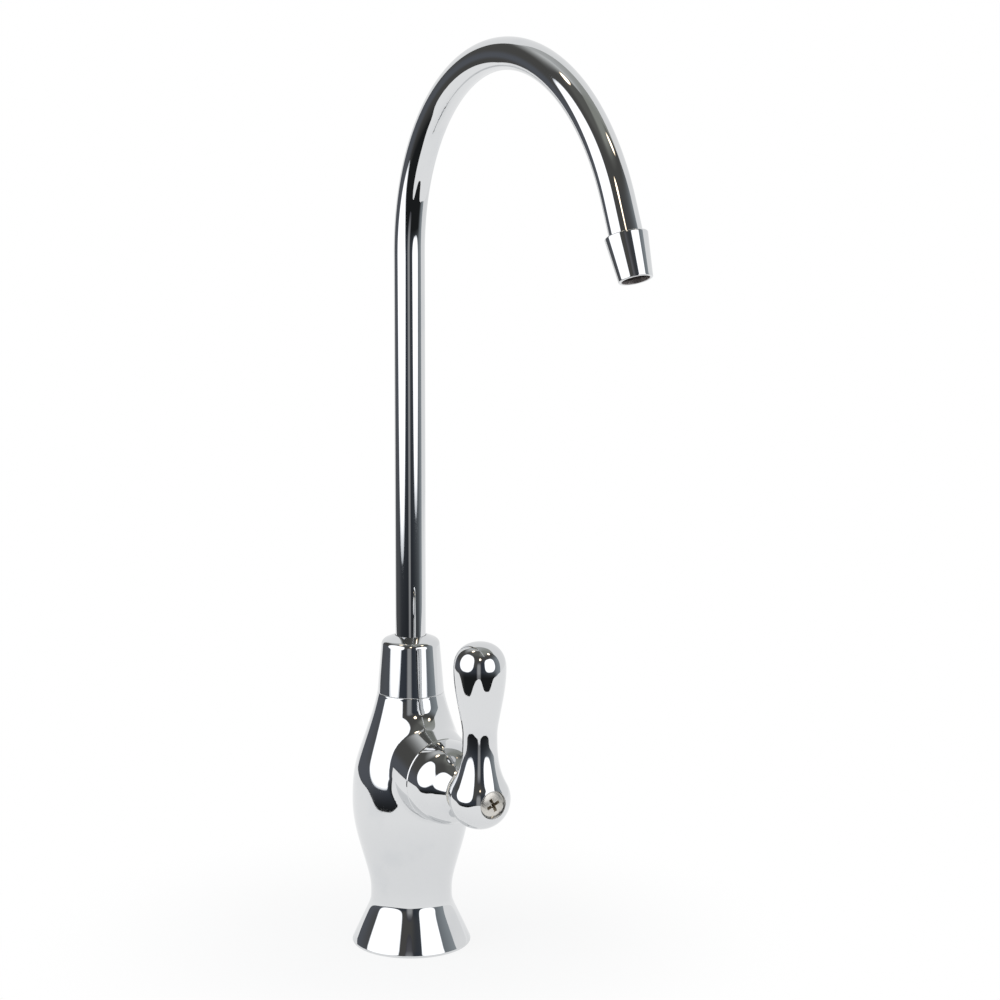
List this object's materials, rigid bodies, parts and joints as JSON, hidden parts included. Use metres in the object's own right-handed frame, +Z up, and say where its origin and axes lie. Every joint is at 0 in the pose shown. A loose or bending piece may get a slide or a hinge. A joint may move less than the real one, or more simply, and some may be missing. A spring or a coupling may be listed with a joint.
{
  "type": "drinking water filter tap",
  "caption": "Chromed deck-mounted filter tap with a vase-shaped body, a swivel gooseneck spout with a conical tip and a quarter-turn lever valve on the front.",
  "frame": {"origin": "centre of the foot on the worktop's top face", "axes": "+Z up along the spout's riser, -Y to the front, where the valve and the spout point, +X to the right of a person facing the tap"},
  "size_m": [0.0376, 0.1541, 0.3467],
  "materials": {
    "chrome_plate": "mirror-polished chrome plate",
    "stainless_steel": "plain turned or pressed stainless steel",
    "brass": "turned brass, not plated",
    "rubber": "matt black rubber",
    "nylon": "natural nylon",
    "ceramic": null
  },
  "bodies": {
    "base": {"body": "chrome_plate", "spout_collar": "chrome_plate", "lower_slip_ring": "nylon", "upper_slip_ring": "nylon", "bonnet": "chrome_plate", "cartridge_body": "brass", "cartridge_o_ring": "rubber", "disc_seal": "rubber", "fixed_disc": "ceramic", "handle_washer": "nylon", "shank": "brass", "base_gasket": "rubber", "deck_washer": "rubber", "clamp_washer": "stainless_steel", "lock_washer": "stainless_steel", "shank_nut": "brass"},
    "lever": {"handle": "chrome_plate", "handle_screw": "stainless_steel", "valve_stem": "brass", "moving_disc": "ceramic", "stem_thrust_washer": "nylon", "stem_o_rings": "rubber", "stem_clip": "stainless_steel"},
    "spout": {"spout_tube": "chrome_plate", "spout_ferrule": "brass", "spout_o_rings": "rubber", "spout_tip": "chrome_plate"}
  },
  "joints": [
    {"name": "lever_turn", "type": "hinge", "parent": "base", "child": "lever", "pos_m": [0, -0.04455, 0.0583], "axis": [0, -1, 0], "range_deg": [0, 90]},
    {"name": "spout_swivel", "type": "hinge", "parent": "base", "child": "spout", "pos_m": [0, 0, 0.09], "axis": [0, 0, 1], "continuous": true}
  ]
}
